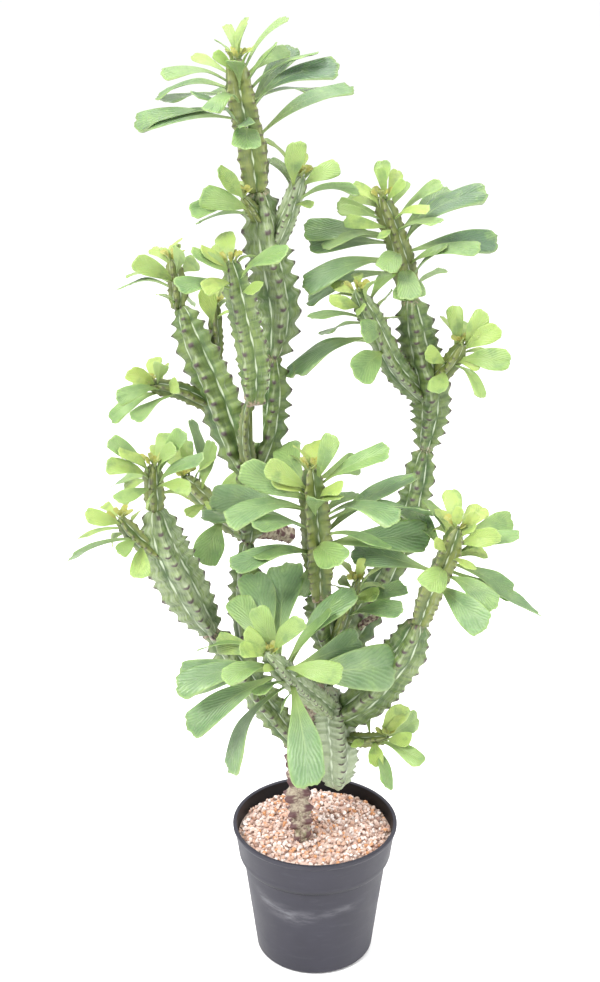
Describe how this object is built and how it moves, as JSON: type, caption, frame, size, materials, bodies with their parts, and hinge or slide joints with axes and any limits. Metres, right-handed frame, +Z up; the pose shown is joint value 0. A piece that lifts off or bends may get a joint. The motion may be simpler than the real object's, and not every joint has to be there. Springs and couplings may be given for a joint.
{
  "type": "potted euphorbia",
  "caption": "Tall branching euphorbia with ribbed, toothed stems and crowns of spatulate leaves, rooted under gravel in a round tapered nursery pot.",
  "frame": {"origin": "middle of the pot's underside, where it rests", "axes": "+Z up the plant, -Y towards its front, +X to the right seen from the front"},
  "size_m": [0.4799, 0.3301, 1.0631],
  "materials": {
    "pot_plastic": "satin",
    "potting_mix": "matte",
    "gravel": "matte",
    "woody_stem": "matte",
    "green_stem": "satin",
    "leafy_shoot": "satin"
  },
  "bodies": {
    "root": {"pot": "pot_plastic", "potting_mix": "potting_mix", "gravel": "gravel", "back_left_shoot": "leafy_shoot", "centre_branch": "green_stem", "centre_riser": "green_stem", "centre_shoot": "leafy_shoot", "cut_stub": "woody_stem", "dry_twig": "woody_stem", "far_left_shoot": "leafy_shoot", "far_right_shoot": "leafy_shoot", "front_riser": "green_stem", "front_shoot": "leafy_shoot", "front_upper_shoot": "leafy_shoot", "inner_left_shoot": "leafy_shoot", "inner_right_shoot": "leafy_shoot", "left_base": "green_stem", "left_branch": "green_stem", "left_node": "green_stem", "left_riser": "green_stem", "left_shoot": "leafy_shoot", "low_right_shoot": "leafy_shoot", "mid_left_branch": "green_stem", "mid_left_shoot": "leafy_shoot", "right_base": "green_stem", "right_branch": "green_stem", "right_node": "green_stem", "right_riser": "green_stem", "right_shoot": "leafy_shoot", "right_top_shoot": "leafy_shoot", "side_left_shoot": "leafy_shoot", "small_centre_shoot": "leafy_shoot", "top_shoot": "leafy_shoot", "trunk": "woody_stem", "upper_branch": "green_stem", "upper_left_shoot": "leafy_shoot", "upper_right_branch": "green_stem", "upper_right_shoot": "leafy_shoot", "upper_riser": "green_stem"}
  },
  "joints": []
}
